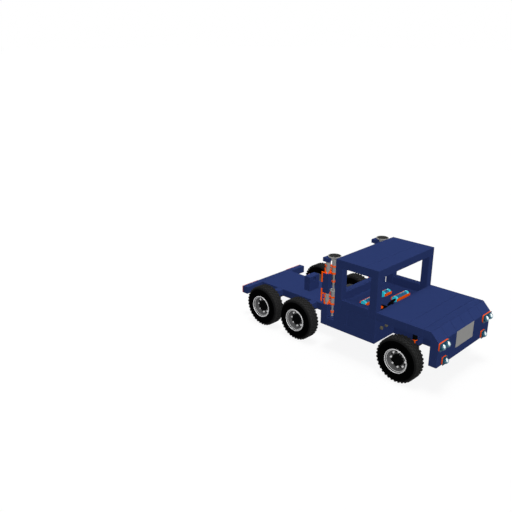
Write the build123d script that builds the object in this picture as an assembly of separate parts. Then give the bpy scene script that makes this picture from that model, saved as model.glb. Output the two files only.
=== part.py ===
"""Toy semi truck tractor unit of smooth plastic building bricks, three axles on free wheels.

Frame: millimetres, +Z up, the nose towards -Y, the truck's left side towards +X.
Origin: on the floor, on the centre line, half way between the front of the lamp lenses and
the rear face of the tail lamps.  The bricks stand on a grid with one pitch along X, Y and Z.
"""
from math import atan2, cos, degrees, hypot, pi, sin
import os

from build123d import *

# ---------------------------------------------------------------- bricks
PLAY = 0.1              # a brick stands back this far from its grid lines, sideways
EDGE = 0.25             # moulded bevel on a brick's edges
WALL = 8.0              # thickness of walls, pillars and sills: one pitch of the grid
PIN_R = 2.4             # wheel pins and the coupling's pin
RUNNING = 0.05          # radial running clearance on a pin

# ---------------------------------------------------------------- wheels
TYRE_R = 21.6           # to the flat faces of the lugs
TYRE_W = 14.0
LUG_H = 1.0
LUG_COUNT = 20          # lugs in one of the two staggered rows, and flats round the sidewall
LUG_SHARE = 0.46        # part of each step round the tyre that a lug fills
SHOULDER_W = 10.4       # width of the tread
SHOULDER_DROP = 0.5     # step from the tread's root down to the sidewall
BULGE_R = 16.6          # where the sidewall is widest
BEAD_W = 11.0           # width where the tyre grips its rim
BEAD_PLAY = 0.05
RIM_R = 11.6
RIM_W = 14.6
RIM_WALL = 1.4
DISC_R = 9.4            # flat face of the rim's disc
DISC_DEPTH = 5.6        # disc's face behind the rim's outer edge
DISC_T = 2.6
HUB_R = 4.0
HOLE_R = 0.7            # small holes in the disc, one outside each gap between the bush's teeth
HOLE_RING_R = 7.3
HOLE_D = 1.6
GEAR_R = 5.6            # toothed bush in the middle of the wheel, over its teeth
GEAR_TOOTH = 1.0
GEAR_TEETH = 12
GEAR_T = 3.0
GEAR_SKIN = 1.0         # closed outer end of the bush
PIN_END_GAP = 0.4
TRACK_OUT_X = 55.0      # outer face of the tyres from the centre line
STUB_R = 3.6            # collar on the axle, inboard of the wheel
STUB_GAP = 0.5
HOLDER_W = 8.0          # blocks beside the chassis that hold the wheels, across the truck
HOLDER_L = 8.0          # and along it
FOOT_T = 1.4            # black foot under each block
LEG_W = 4.5             # leg under the block's outer end, across the truck
LEG_L = 5.2             # and along it

# ---------------------------------------------------------------- lengthways
FRONT_AXLE = 36.0       # nose plane to front axle
WHEELBASE = 120.0       # front axle to middle axle
TANDEM = 48.0           # middle axle to rear axle
REAR_OVERHANG = 36.0    # rear axle to the rear face of the tail lamps
LENS_BULGE = 4.7        # lamp lenses stand this far out of the nose
HOOD_ROWS = (8.0, 16.0)     # lengths of the front hood plates; a third one reaches the cab
ARCH_GAP = 6.4          # front tyre to the cab's firewall, measured along the truck
SIDE_SEAM = 32.0        # length of the front brick of the cab's side wall
ROOF_SEAM = 16.0        # length of the front roof plate
LEDGE_L = 16.0          # skirt behind the rear pillars, where the stacks stand
LEDGE_GAP = 6.4         # skirt's end to the middle tyre, measured along the truck
POST_BEHIND = 20.0      # middle axle to the coupling post's front face

# ---------------------------------------------------------------- sideways
BODY_W = 96.0
DECK_W = 48.0
NOSE_BEAM_W = 32.0      # chassis and engine under the hood
BACK_WALL_IN = 16.0     # back wall's ends inside the body's faces
CORNER_T = 2.4          # panels that close the corners beside the back wall
GRILLE_W = 32.0
SLOPE_COUNT = 6         # nose slopes side by side
LAMP_W = 8.0            # width and height of one lamp cell
TOP_LAMPS = 2           # lamp cells side by side at each upper corner
TAIL_LAMPS = 3          # lamp cells side by side at each rear corner
POST_W = 16.0

# ---------------------------------------------------------------- upwards
CHASSIS_H = 8.0
BASE_H = 16.0           # chassis deck to cab floor
FLOOR_T = 8.0
SILL_H = 8.0            # cab floor to the windows' lower edge
WINDOW_H = 32.0
ROOF_T = 8.0
AXLE_H = 8.0            # wheel's axis is half of this under the chassis, a leg's end all of it
POST_STEP = 8.0         # height of one coupling brick

# ---------------------------------------------------------------- lamps and coupling
FRAME_T = 1.2           # coloured plate between the nose and a lamp's lens
LENS_T = 0.4            # clear plate under the domes of a lens
LENS_R = 3.1            # its domes
TAIL_T = 1.2            # thickness of the tail lamp plates
COLLAR_R = 3.7
COLLAR_T = 1.2
COLLAR_BORE_R = 2.9

# ---------------------------------------------------------------- stacks
COLUMN_IN = {"right": 0.0, "left": 8.0}     # columns stand this far inside the body's faces
UNIT_STEP = 32.0        # a stack is two equal units, one on the other
STACK_UNITS = 2
BLOCK_OVER = 13.5       # a column's block ends this far above its unit's start
BLOCK_UNDER = 6.4       # and the next one starts this far below the next unit
COLUMN_DROP = 2.5       # column's top under the dish's rim
PIPE_IN = 2.3           # pipe's axis from the column's, towards the truck's left
PIPE_AHEAD = 5.4        # and towards the nose
FOOT_R = 3.8
FOOT_H = 2.4
BAR_R = 1.6
TUBE_R = 2.45
TUBE_FROM = 11.2        # thick tube's start above its unit's start
TUBE_L = 16.4
FLANGE_R = 3.6
FLANGE_T = 1.2
DISH_R = 6.5
DISH_H = 3.2
DISH_FLOOR = 1.0
DISH_BORE_R = 5.8       # hollow of the dish at its rim
DISH_WELL_R = 2.0       # and at its floor
CANISTER_R = 2.5
CLIP_H = 1.6
CLIP_WALL = 0.9
CLIP_PLAY = 0.05
HOOK_R = 0.8
HOOK_BACK = 3.3         # hook's upright behind the column's middle
# Clips: unit, what they go round, height above the unit's start.
CLIPS = (
    (0, "bar", 4.8), (0, "both", 13.6), (0, "both", 20.6), (0, "canister", 23.9),
    (1, "bar", 4.8), (1, "both", 13.6), (1, "both", 20.6),
)
# Hooks: the clip that holds them, low and high end of their upright above the unit's start.
HOOKS = {(0, 23.9): (16.7, 29.8), (1, 13.6): (4.6, 15.2)}

# ---------------------------------------------------------------- cab inside
LIGHT_R = 3.0           # clear light tubes on the cab floor
RAIL_T = 0.8
RAIL_SPAN = 50.0        # degrees of the tube that one rail covers
DASH_LIGHT_X = (-2.0, 20.5)
DASH_LIGHT_BEHIND = 10.4            # light's axis behind the hood's rear face
BENCH_LONG_X = (-32.0, -9.0)        # two lights in one line over the bench
BENCH_SHORT_X = (0.0, 11.5)
BENCH_LIGHT_BEHIND = 25.7
STEER_X = -16.0
STEER_R = 4.3
STEER_WIRE_R = 0.7
COLUMN_R = 1.0
STEER_TILT = 35.0       # column's rise from level, towards the driver
STEER_UP = 7.1          # wheel's middle above the cab floor
STEER_BEHIND = 4.5      # and behind the hood
SWITCH_W = 12.0         # open switch box in the corner beside the front pillar
SWITCH_H = 8.0
SWITCH_WALL = 1.5
LEVER_R = 1.7
LEVER_IN = 5.4          # lever's axis from the box's outer face
LEVER_BEHIND = 3.4      # and from its front face
LEVER_OUT = 1.0         # lever's end above the box

# ---------------------------------------------------------------- under the hood
PEG_IN = (9.8, 17.8)    # round pegs on the firewall, from the body's outer face
PEG_DROP = 10.4         # pegs' axes under the cab floor
PEG_R = 1.7
PEG_L = 1.8
FRONT_LEDGE = 5.0       # front feet reach this far outside their blocks
DAMPER_IN = 2.6         # dampers' axes from the outer ends of the front feet
DAMPER_AHEAD = 1.4      # and ahead of the front axle
DAMPER_R = 2.3
DAMPER_L = 4.2          # dark head
DAMPER_RING_T = 1.2     # coloured ring under the head
STEM_R = 0.8
STEM_L = 5.6            # coloured stem from the foot up to the ring

# ---------------------------------------------------------------- stations along Y, Z
body_l = FRONT_AXLE + WHEELBASE + TANDEM + REAR_OVERHANG
nose_y = LENS_BULGE - (body_l + LENS_BULGE) / 2
rear_y = nose_y + body_l
hood_y = nose_y + WALL
axle_ys = {
    "front": nose_y + FRONT_AXLE,
    "middle": nose_y + FRONT_AXLE + WHEELBASE,
    "rear": nose_y + FRONT_AXLE + WHEELBASE + TANDEM,
}
firewall_y = axle_ys["front"] + TYRE_R + ARCH_GAP
cab_y = firewall_y + WALL
back_y = axle_ys["middle"] - TYRE_R - LEDGE_GAP - LEDGE_L
pillar_y = back_y - WALL
hood_rows = (*HOOD_ROWS, firewall_y - hood_y - sum(HOOD_ROWS))
post_y = axle_ys["middle"] + POST_BEHIND

axle_z = TYRE_R
chassis_z = axle_z + AXLE_H / 2
deck_z = chassis_z + CHASSIS_H
floor_z = deck_z + BASE_H
belt_z = floor_z + SILL_H
roof_z = belt_z + WINDOW_H
top_z = roof_z + ROOF_T

half = BODY_W / 2
deck_half = DECK_W / 2
wheel_x = TRACK_OUT_X - TYRE_W / 2
SIDES = {"right": -1, "left": 1}

parts = {}


def brick(x, y, z):
    """A brick between pairs of grid lines, with its play sideways and its moulded bevel."""
    solid = Box(x[1] - x[0] - 2 * PLAY, y[1] - y[0] - 2 * PLAY, z[1] - z[0])
    solid = chamfer(solid.edges(), EDGE)
    return Pos(sum(x) / 2, sum(y) / 2, sum(z) / 2) * solid


def mirrored(side, inner, outer):
    """A pair of X grid lines on one side of the truck, in rising order."""
    return tuple(sorted((side * inner, side * outer)))


def row(y, *lengths):
    """Pairs of Y grid lines for bricks of these lengths, laid from y backwards."""
    pairs = []
    for length in lengths:
        pairs.append((y, y + length))
        y += length
    return pairs


def block(*solids):
    """One node of several solids that don't touch."""
    return Compound(children=list(solids))


# ---------------------------------------------------------------- chassis
parts["chassis_nose"] = brick(
    (-NOSE_BEAM_W / 2, NOSE_BEAM_W / 2), (hood_y, firewall_y), (chassis_z, deck_z))
parts["chassis_deck"] = brick(
    (-deck_half, deck_half), (firewall_y, rear_y - WALL), (chassis_z, deck_z))
parts["engine_block"] = brick(
    (-NOSE_BEAM_W / 2, NOSE_BEAM_W / 2), (hood_y, firewall_y), (deck_z, floor_z))
parts["rear_beam"] = brick(
    (-half, half), (rear_y - WALL, rear_y - TAIL_T + PLAY), (chassis_z, deck_z))

# Tail lamps: red plates on the rear beam, one cell to a lamp.
tail_plates = []
for side in SIDES.values():
    for cell in range(TAIL_LAMPS):
        lamp_x = mirrored(side, half - (cell + 1) * LAMP_W, half - cell * LAMP_W)
        plate = Box(LAMP_W - 2 * PLAY, TAIL_T, CHASSIS_H - 2 * PLAY)
        middle_z = (chassis_z + deck_z) / 2
        tail_plates.append(Pos(sum(lamp_x) / 2, rear_y - TAIL_T / 2, middle_z) * plate)
parts["tail_lamps"] = block(*tail_plates)

# Each wheel has a block beside the chassis, and under it a black foot with a leg, a collar and
# the pin that the wheel turns on.
pin_end_x = wheel_x + RIM_W / 2 - DISC_DEPTH + GEAR_T - GEAR_SKIN - PIN_END_GAP
stub_end_x = wheel_x - RIM_W / 2 - STUB_GAP
CHASSIS_HALVES = {"front": NOSE_BEAM_W / 2, "middle": deck_half, "rear": deck_half}
holders = []
axles = []
for name, y in axle_ys.items():
    inner = CHASSIS_HALVES[name]
    outer = inner + HOLDER_W
    ledge = outer + FRONT_LEDGE if name == "front" else outer
    for side in SIDES.values():
        holder_ys = (y - HOLDER_L / 2, y + HOLDER_L / 2)
        holders.append(brick(mirrored(side, inner, outer), holder_ys, (chassis_z + FOOT_T, deck_z)))
        axle = brick(mirrored(side, inner, ledge), holder_ys, (chassis_z, chassis_z + FOOT_T))
        leg_x = side * (outer - PLAY - LEG_W / 2)
        leg_z = chassis_z + (EDGE - AXLE_H) / 2
        axle += Pos(leg_x, y, leg_z) * Box(LEG_W, LEG_L, AXLE_H + EDGE)
        for radius, end in ((STUB_R, stub_end_x), (PIN_R, pin_end_x)):
            length = end - outer + LEG_W / 2
            along_x = Pos(side * (end - length / 2), y, axle_z) * Rotation(0, 90, 0)
            axle += along_x * Cylinder(radius, length)
        axles.append(axle)
parts["axle_blocks"] = block(*holders)
parts["axles"] = block(*axles)

# ---------------------------------------------------------------- coupling
post_x = (-POST_W / 2, POST_W / 2)
post_ys = (post_y, post_y + WALL)
parts["coupling_post"] = brick(post_x, post_ys, (deck_z, deck_z + POST_STEP))
socket = brick(post_x, post_ys, (deck_z + POST_STEP, deck_z + 2 * POST_STEP))
socket_z = deck_z + POST_STEP + POST_STEP / 2
socket_bore = Cylinder(PIN_R + RUNNING, 2 * WALL)
parts["coupling_socket"] = socket - Pos(0, post_y + WALL / 2, socket_z) * Rotation(90, 0, 0) * socket_bore
collar = Cylinder(COLLAR_R, COLLAR_T) - Cylinder(COLLAR_BORE_R, 2 * COLLAR_T)
collar_y = post_y + WALL - PLAY + COLLAR_T / 2
parts["coupling_collar"] = Pos(0, collar_y, socket_z) * Rotation(90, 0, 0) * collar

# ---------------------------------------------------------------- nose
slope_w = BODY_W / SLOPE_COUNT
slopes = []
for index in range(SLOPE_COUNT):
    left = -half + index * slope_w + PLAY
    wedge = Plane.YZ * Polygon(
        (nose_y + PLAY, floor_z), (hood_y - PLAY, floor_z), (hood_y - PLAY, belt_z), align=None)
    slopes.append(Pos(left, 0, 0) * extrude(wedge, slope_w - 2 * PLAY))
parts["nose_slopes"] = block(*slopes)

hood = []
for length_y in row(hood_y, *hood_rows):
    hood.append(brick((-half, half), length_y, (floor_z, belt_z)))
parts["hood_plates"] = block(*hood)

# The fascia's wall leaves room for the grille, which is a brick of its own.
upper_rows = (deck_z, floor_z)
fascia_ys = (nose_y, hood_y)
wall_xs = [mirrored(side, GRILLE_W / 2, half) for side in SIDES.values()]
parts["fascia_wall"] = block(*[brick(wall_x, fascia_ys, upper_rows) for wall_x in wall_xs])
parts["fascia_beam"] = brick((-half, half), fascia_ys, (chassis_z, deck_z))
parts["grille"] = brick((-GRILLE_W / 2, GRILLE_W / 2), fascia_ys, upper_rows)

# Lamps: coloured plates on the fascia's face, and on them clear lenses with one dome to a cell.
# Columns: first and last X grid line on the left side, lower Z.
lamp_in = half - TOP_LAMPS * LAMP_W
LAMPS = (
    (lamp_in, half, floor_z - LAMP_W),
    (lamp_in, lamp_in + LAMP_W, chassis_z),
)
plate_y = nose_y + PLAY - FRAME_T
frames = []
lenses = []
for inner, outer, low_z in LAMPS:
    for side in SIDES.values():
        lamp_x = mirrored(side, inner, outer)
        middle = Pos(sum(lamp_x) / 2, plate_y, low_z + LAMP_W / 2)
        width = outer - inner - 2 * PLAY
        height = LAMP_W - 2 * PLAY
        frames.append(middle * Pos(0, FRAME_T / 2, 0) * Box(width, FRAME_T, height))
        lens = middle * Pos(0, -LENS_T / 2, 0) * Box(width, LENS_T, height)
        for cell in range(round((outer - inner) / LAMP_W)):
            dome_x = lamp_x[0] + (cell + 0.5) * LAMP_W
            dome_y = nose_y - LENS_BULGE + LENS_R
            lens += Pos(dome_x, dome_y, low_z + LAMP_W / 2) * Sphere(LENS_R)
        lenses.append(lens - middle * Pos(0, WALL / 2, 0) * Box(width, WALL, height))
parts["lamp_frames"] = block(*frames)
parts["lamp_lenses"] = block(*lenses)

# ---------------------------------------------------------------- cab
wall_ys = row(firewall_y, SIDE_SEAM, back_y - firewall_y - SIDE_SEAM)
skirts = []
side_walls = []
side_sills = []
for side in SIDES.values():
    skirt_x = mirrored(side, deck_half, half)
    skirts.append(brick(skirt_x, (firewall_y, back_y + LEDGE_L), (chassis_z, deck_z)))
    side_x = mirrored(side, half - WALL, half)
    side_walls += [brick(side_x, length_y, (deck_z, floor_z)) for length_y in wall_ys]
    side_sills.append(brick(side_x, (cab_y, pillar_y), (floor_z, belt_z)))
parts["skirts"] = block(*skirts)
parts["side_walls"] = block(*side_walls)
parts["side_sills"] = block(*side_sills)
inner_x = (-half + WALL, half - WALL)
parts["firewall"] = brick(inner_x, (firewall_y, cab_y), (deck_z, floor_z))
parts["cab_floor"] = brick(inner_x, (cab_y, back_y), (floor_z - FLOOR_T, floor_z))
back_x = (BACK_WALL_IN - half, half - BACK_WALL_IN)
for name, levels in (("back_wall", (deck_z, floor_z)), ("back_sill", (floor_z, belt_z))):
    bricks = [brick(back_x, (back_y, back_y + WALL), levels)]
    for side in SIDES.values():
        corner_x = mirrored(side, half - BACK_WALL_IN, half - WALL)
        bricks.append(brick(corner_x, (back_y, back_y + CORNER_T), levels))
    parts[name] = block(*bricks)
pillars = []
for side in SIDES.values():
    for length_y in ((firewall_y, cab_y), (pillar_y, back_y)):
        pillars.append(brick(mirrored(side, half - WALL, half), length_y, (floor_z, roof_z)))
parts["pillars"] = block(*pillars)
roof = []
for length_y in row(firewall_y, ROOF_SEAM, back_y - firewall_y - ROOF_SEAM):
    roof.append(brick((-half, half), length_y, (roof_z, top_z)))
parts["roof_plates"] = block(*roof)

# Clear light tubes lie on the floor, each held by two coloured rails along it.
# Columns: first and last X, axis behind the hood.
LIGHTS = (
    (*DASH_LIGHT_X, DASH_LIGHT_BEHIND),
    (*BENCH_LONG_X, BENCH_LIGHT_BEHIND),
    (*BENCH_SHORT_X, BENCH_LIGHT_BEHIND),
)
rail_r = LIGHT_R + RAIL_T
tubes = []
rails = []
for first_x, last_x, behind in LIGHTS:
    length = last_x - first_x
    middle = ((first_x + last_x) / 2, firewall_y + behind, floor_z + rail_r)
    place = Pos(*middle) * Rotation(0, 90, 0)
    tubes.append(place * Cylinder(LIGHT_R - CLIP_PLAY, length))
    reach = 2 * rail_r
    spread = reach * sin(RAIL_SPAN / 2 * pi / 180)
    sector = Polygon((0, 0), (reach, -spread), (reach, spread), align=None)
    for turn in (90, -90):
        face = Rotation(0, 0, turn) * sector & (Circle(rail_r) - Circle(LIGHT_R))
        rails.append(place * extrude(face, length / 2, both=True))
parts["light_tubes"] = block(*tubes)
parts["light_rails"] = block(*rails)

# Steering wheel on a column that ends against the rear face of the hood.
steer_middle = (STEER_X, firewall_y + STEER_BEHIND, floor_z + STEER_UP)
column_l = 2 * STEER_BEHIND
steering = Torus(STEER_R, STEER_WIRE_R) + Box(2 * STEER_R, 2 * STEER_WIRE_R, 2 * STEER_WIRE_R)
steering += Pos(0, 0, -column_l / 2) * Cylinder(COLUMN_R, column_l)
steering = Pos(*steer_middle) * Rotation(STEER_TILT - 90, 0, 0) * steering
hood_back = Box(DECK_W, WALL, 2 * column_l)
hood_back = Pos(STEER_X, firewall_y - PLAY - WALL / 2, floor_z + STEER_UP) * hood_back
parts["steering_wheel"] = steering - hood_back

# An open switch box with a lever in it stands on the firewall beside the right front pillar.
switch_x = (-half + WALL, -half + WALL + SWITCH_W)
switch = brick(switch_x, (firewall_y, cab_y), (floor_z, floor_z + SWITCH_H))
pocket = Box(SWITCH_W - 2 * SWITCH_WALL, WALL - 2 * SWITCH_WALL, SWITCH_H)
pocket_z = floor_z + SWITCH_WALL + SWITCH_H / 2
parts["switch_box"] = switch - Pos(sum(switch_x) / 2, firewall_y + WALL / 2, pocket_z) * pocket
lever_l = SWITCH_H - SWITCH_WALL + LEVER_OUT
lever_foot = Pos(switch_x[0] + LEVER_IN, firewall_y + LEVER_BEHIND, floor_z + SWITCH_WALL)
parts["switch_lever"] = lever_foot * Pos(0, 0, lever_l / 2) * Cylinder(LEVER_R, lever_l)

# ---------------------------------------------------------------- under the hood
pegs = []
dampers = []
damper_stems = []
for side in SIDES.values():
    for inset in PEG_IN:
        peg = Rotation(90, 0, 0) * Cylinder(PEG_R, PEG_L)
        peg_y = firewall_y + PLAY - PEG_L / 2
        pegs.append(Pos(side * (half - inset), peg_y, floor_z - PEG_DROP) * peg)
    damper_x = NOSE_BEAM_W / 2 + HOLDER_W + FRONT_LEDGE - DAMPER_IN
    foot = Pos(side * damper_x, axle_ys["front"] - DAMPER_AHEAD, chassis_z + FOOT_T)
    ring_up = STEM_L + DAMPER_RING_T / 2
    stem = Pos(0, 0, STEM_L / 2) * Cylinder(STEM_R, STEM_L)
    damper_stems.append(foot * (stem + Pos(0, 0, ring_up) * Cylinder(DAMPER_R, DAMPER_RING_T)))
    head_up = STEM_L + DAMPER_RING_T + DAMPER_L / 2
    dampers.append(foot * Pos(0, 0, head_up) * Cylinder(DAMPER_R, DAMPER_L))
parts["firewall_pegs"] = block(*pegs)
parts["front_dampers"] = block(*dampers)
parts["damper_stems"] = block(*damper_stems)

# ---------------------------------------------------------------- stacks
# A stack is made about the middle of its column: blocks and canisters in turn, and beside them
# the pipe, which stands in a groove down the blocks.
tube_to = TUBE_FROM + TUBE_L
stack_top = UNIT_STEP * (STACK_UNITS - 1) + tube_to + FLANGE_T + DISH_H
outline = [(0, 0), (FOOT_R, 0), (FOOT_R, FOOT_H), (BAR_R, FOOT_H)]
for unit in range(STACK_UNITS):
    start = unit * UNIT_STEP
    outline += [(BAR_R, start + TUBE_FROM), (TUBE_R, start + TUBE_FROM), (TUBE_R, start + tube_to),
                (FLANGE_R, start + tube_to), (FLANGE_R, start + tube_to + FLANGE_T),
                (BAR_R, start + tube_to + FLANGE_T)]
dish_z = stack_top - DISH_H
outline += [
    (DISH_R, stack_top - DISH_FLOOR), (DISH_R, stack_top), (DISH_BORE_R, stack_top),
    (DISH_WELL_R, dish_z + DISH_FLOOR), (0, dish_z + DISH_FLOOR)]
pipe_at = Pos(PIPE_IN, -PIPE_AHEAD, 0)
pipe = pipe_at * revolve(Plane.XZ * Polygon(*outline, align=None), Axis.Z)

block_ends = [0]
for unit in range(STACK_UNITS):
    block_ends += [unit * UNIT_STEP + BLOCK_OVER, (unit + 1) * UNIT_STEP - BLOCK_UNDER]
block_ends.append(stack_top - COLUMN_DROP)
cell = (-WALL / 2, WALL / 2)
groove = pipe_at * Cylinder(FOOT_R + PLAY, 2 * stack_top)
blocks = [brick(cell, cell, ends) - groove for ends in zip(block_ends[::2], block_ends[1::2])]
canisters = []
for low, high in zip(block_ends[1:-1:2], block_ends[2:-1:2]):
    canisters.append(Pos(0, 0, (low + high) / 2) * Cylinder(CANISTER_R, high - low))


def arm(reach_x, reach_y, inner, width):
    """A flat bar from the column's middle outwards, from this radius to a point."""
    reach = hypot(reach_x, reach_y)
    turn = Rotation(0, 0, degrees(atan2(reach_y, reach_x)))
    return turn * Pos((reach + inner) / 2, 0, 0) * Rectangle(reach - inner, width)


def collar_ring(radius):
    """A flat ring that clips round a bar, tube or canister of this radius."""
    return Circle(radius + CLIP_WALL) - Circle(radius + CLIP_PLAY)


pair = Circle(CANISTER_R + CLIP_WALL) + pipe_at * Circle(TUBE_R + CLIP_WALL)
pair += arm(PIPE_IN, -PIPE_AHEAD, 0, 2 * TUBE_R)
pair -= Circle(CANISTER_R + CLIP_PLAY) + pipe_at * Circle(TUBE_R + CLIP_PLAY)
clip_outlines = {"bar": pipe_at * collar_ring(BAR_R), "both": pair, "canister": collar_ring(CANISTER_R)}
hook_x = -WALL / 2 - HOOK_R
clips = []
for unit, around, height in CLIPS:
    start = unit * UNIT_STEP
    flat = clip_outlines[around]
    hook = HOOKS.get((unit, height))
    if hook:
        flat += arm(hook_x, HOOK_BACK, CANISTER_R + CLIP_WALL / 2, 2 * HOOK_R)
    clip = Pos(0, 0, start + height) * extrude(flat, CLIP_H)
    if hook:
        low, high = hook
        clip += Pos(hook_x, HOOK_BACK, start + (low + high) / 2) * Cylinder(HOOK_R, high - low)
    clips.append(clip)

column_y = back_y + LEDGE_L - WALL / 2
feet = [Pos(side * (half - COLUMN_IN[name] - WALL / 2), column_y, deck_z) for name, side in SIDES.items()]
parts["stack_pipes"] = block(*[foot * pipe for foot in feet])
parts["stack_columns"] = block(*[foot * solid for foot in feet for solid in blocks])
parts["stack_canisters"] = block(*[foot * solid for foot in feet for solid in canisters])
parts["stack_clips"] = block(*[foot * solid for foot in feet for solid in clips])

# ---------------------------------------------------------------- wheels
# A wheel is made about Z with its outer side up, then turned to face out of the truck.
root_r = TYRE_R - LUG_H
lug_step = 360 / LUG_COUNT
lug_edge = LUG_SHARE * lug_step / 2
tip_r = TYRE_R / cos(lug_edge * pi / 180)


def polar(radius, degrees):
    """A point at this radius and angle about the wheel's axis."""
    return (radius * cos(degrees * pi / 180), radius * sin(degrees * pi / 180))


def lug_row(phase, width):
    """One row of lugs on the tread's root, turned by a part of the step between lugs."""
    corners = []
    for index in range(LUG_COUNT):
        middle = (index + phase) * lug_step
        corners += [polar(root_r, middle - lug_edge), polar(tip_r, middle - lug_edge),
                    polar(tip_r, middle + lug_edge), polar(root_r, middle + lug_edge)]
    return extrude(Polygon(*corners, align=None), width)


def faceted(outline, flats):
    """A ring of flat faces about the wheel's axis, from its closed outline of (radius, height)."""
    faces = []
    for here, there in zip(outline, outline[1:] + outline[:1]):
        for index in range(flats):
            corners = []
            for (radius, height), turn in ((here, 0), (here, 1), (there, 1), (there, 0)):
                x, y = polar(radius, (index + turn) * 360 / flats)
                corners.append((x, y, height))
            faces.append(Face(Wire.make_polygon(corners)))
    return Solid(Shell(faces))


shoulder_r = root_r - SHOULDER_DROP
bead_r = (RIM_R + BEAD_PLAY) / cos(pi / LUG_COUNT)
sidewall = faceted(
    [(bead_r, -BEAD_W / 2), (BULGE_R, -TYRE_W / 2), (shoulder_r, -SHOULDER_W / 2),
     (shoulder_r, SHOULDER_W / 2), (BULGE_R, TYRE_W / 2), (bead_r, BEAD_W / 2)], LUG_COUNT)
tread = lug_row(0, SHOULDER_W / 2) + lug_row(0.5, -SHOULDER_W / 2)
tread -= extrude(RegularPolygon(BULGE_R, LUG_COUNT), SHOULDER_W, both=True)
tyre = tread + sidewall

face_z = RIM_W / 2 - DISC_DEPTH
bore_r = PIN_R + RUNNING
barrel_r = RIM_R - RIM_WALL
rim_outline = [
    (RIM_R, -RIM_W / 2), (RIM_R, RIM_W / 2), (barrel_r, RIM_W / 2), (DISC_R, face_z),
    (bore_r, face_z), (bore_r, -RIM_W / 2), (HUB_R, -RIM_W / 2), (HUB_R, face_z - DISC_T),
    (barrel_r, face_z - DISC_T), (barrel_r, -RIM_W / 2)]
rim = revolve(Plane.XZ * Polygon(*rim_outline, align=None), Axis.Z)

tooth_step = 360 / GEAR_TEETH
teeth = Circle(GEAR_R - GEAR_TOOTH)
tooth_w = pi * (GEAR_R - GEAR_TOOTH) / GEAR_TEETH
for index in range(GEAR_TEETH):
    tooth = Pos(GEAR_R - GEAR_TOOTH, 0) * Rectangle(2 * GEAR_TOOTH, tooth_w)
    teeth += Rotation(0, 0, index * tooth_step) * tooth
    hole = Pos(*polar(HOLE_RING_R, (index + 0.5) * tooth_step), face_z) * Cylinder(HOLE_R, 2 * HOLE_D)
    rim -= hole
gear = extrude(teeth, GEAR_T) - Cylinder(bore_r, 2 * (GEAR_T - GEAR_SKIN))
gear = Pos(0, 0, face_z) * gear

for axle_name, y in axle_ys.items():
    for name, side in SIDES.items():
        place = Pos(side * wheel_x, y, axle_z) * Rotation(0, side * 90, 0)
        parts[f"tyre_{axle_name}_{name}"] = place * tyre
        parts[f"rim_{axle_name}_{name}"] = place * rim
        parts[f"hub_gear_{axle_name}_{name}"] = place * gear

os.makedirs("parts", exist_ok=True)
for name, solid in parts.items():
    export_step(solid, f"parts/{name}.step")
print(len(parts), "nodes")
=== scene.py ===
"""Toy semi truck tractor unit of smooth dark blue building bricks, dressed round its frame.

The frame is in metres, +Z up, the nose towards -Y and the truck's left side towards +X.
Sizes that this script adds are written in millimetres and turned into metres with MM.
"""
from math import atan2, cos, degrees, hypot, pi, radians, sin, tan

import bmesh
import bpy
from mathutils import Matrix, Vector


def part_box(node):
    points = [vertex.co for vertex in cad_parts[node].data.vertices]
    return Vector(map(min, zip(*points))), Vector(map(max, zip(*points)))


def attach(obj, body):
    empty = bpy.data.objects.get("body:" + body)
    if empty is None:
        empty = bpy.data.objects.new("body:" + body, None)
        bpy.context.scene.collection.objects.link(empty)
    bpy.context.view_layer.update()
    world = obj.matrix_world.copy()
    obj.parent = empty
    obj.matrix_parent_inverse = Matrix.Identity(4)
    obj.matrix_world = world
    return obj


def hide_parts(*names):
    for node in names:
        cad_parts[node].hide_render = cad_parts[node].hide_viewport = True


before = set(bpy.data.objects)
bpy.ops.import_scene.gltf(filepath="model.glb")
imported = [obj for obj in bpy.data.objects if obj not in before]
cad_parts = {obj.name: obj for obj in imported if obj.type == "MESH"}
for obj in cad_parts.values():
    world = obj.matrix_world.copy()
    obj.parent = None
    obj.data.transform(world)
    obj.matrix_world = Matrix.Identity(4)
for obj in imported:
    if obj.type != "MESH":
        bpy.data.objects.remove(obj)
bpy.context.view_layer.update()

# ------------------------------------------------------------------ camera
# A 45 degree lens looks down on the truck's right front corner from about 0.65 m.
MM = 0.001
LENS_ANGLE = 45.0
CAMERA_AT = Vector((-487.90, -339.07, 293.64)) * MM
CAMERA_TURN = -45.0     # degrees about Z from looking along +Y
CAMERA_DROP = 19.471    # degrees below level

camera_data = bpy.data.cameras.new("camera")
camera_data.sensor_width = 36.0
camera_data.lens = camera_data.sensor_width / 2 / tan(radians(LENS_ANGLE / 2))
camera = bpy.data.objects.new("camera", camera_data)
camera.location = CAMERA_AT
camera.rotation_euler = (radians(90 - CAMERA_DROP), 0, radians(CAMERA_TURN))
bpy.context.scene.collection.objects.link(camera)
bpy.context.scene.camera = camera
bpy.context.scene.view_settings.view_transform = "Standard"


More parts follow.
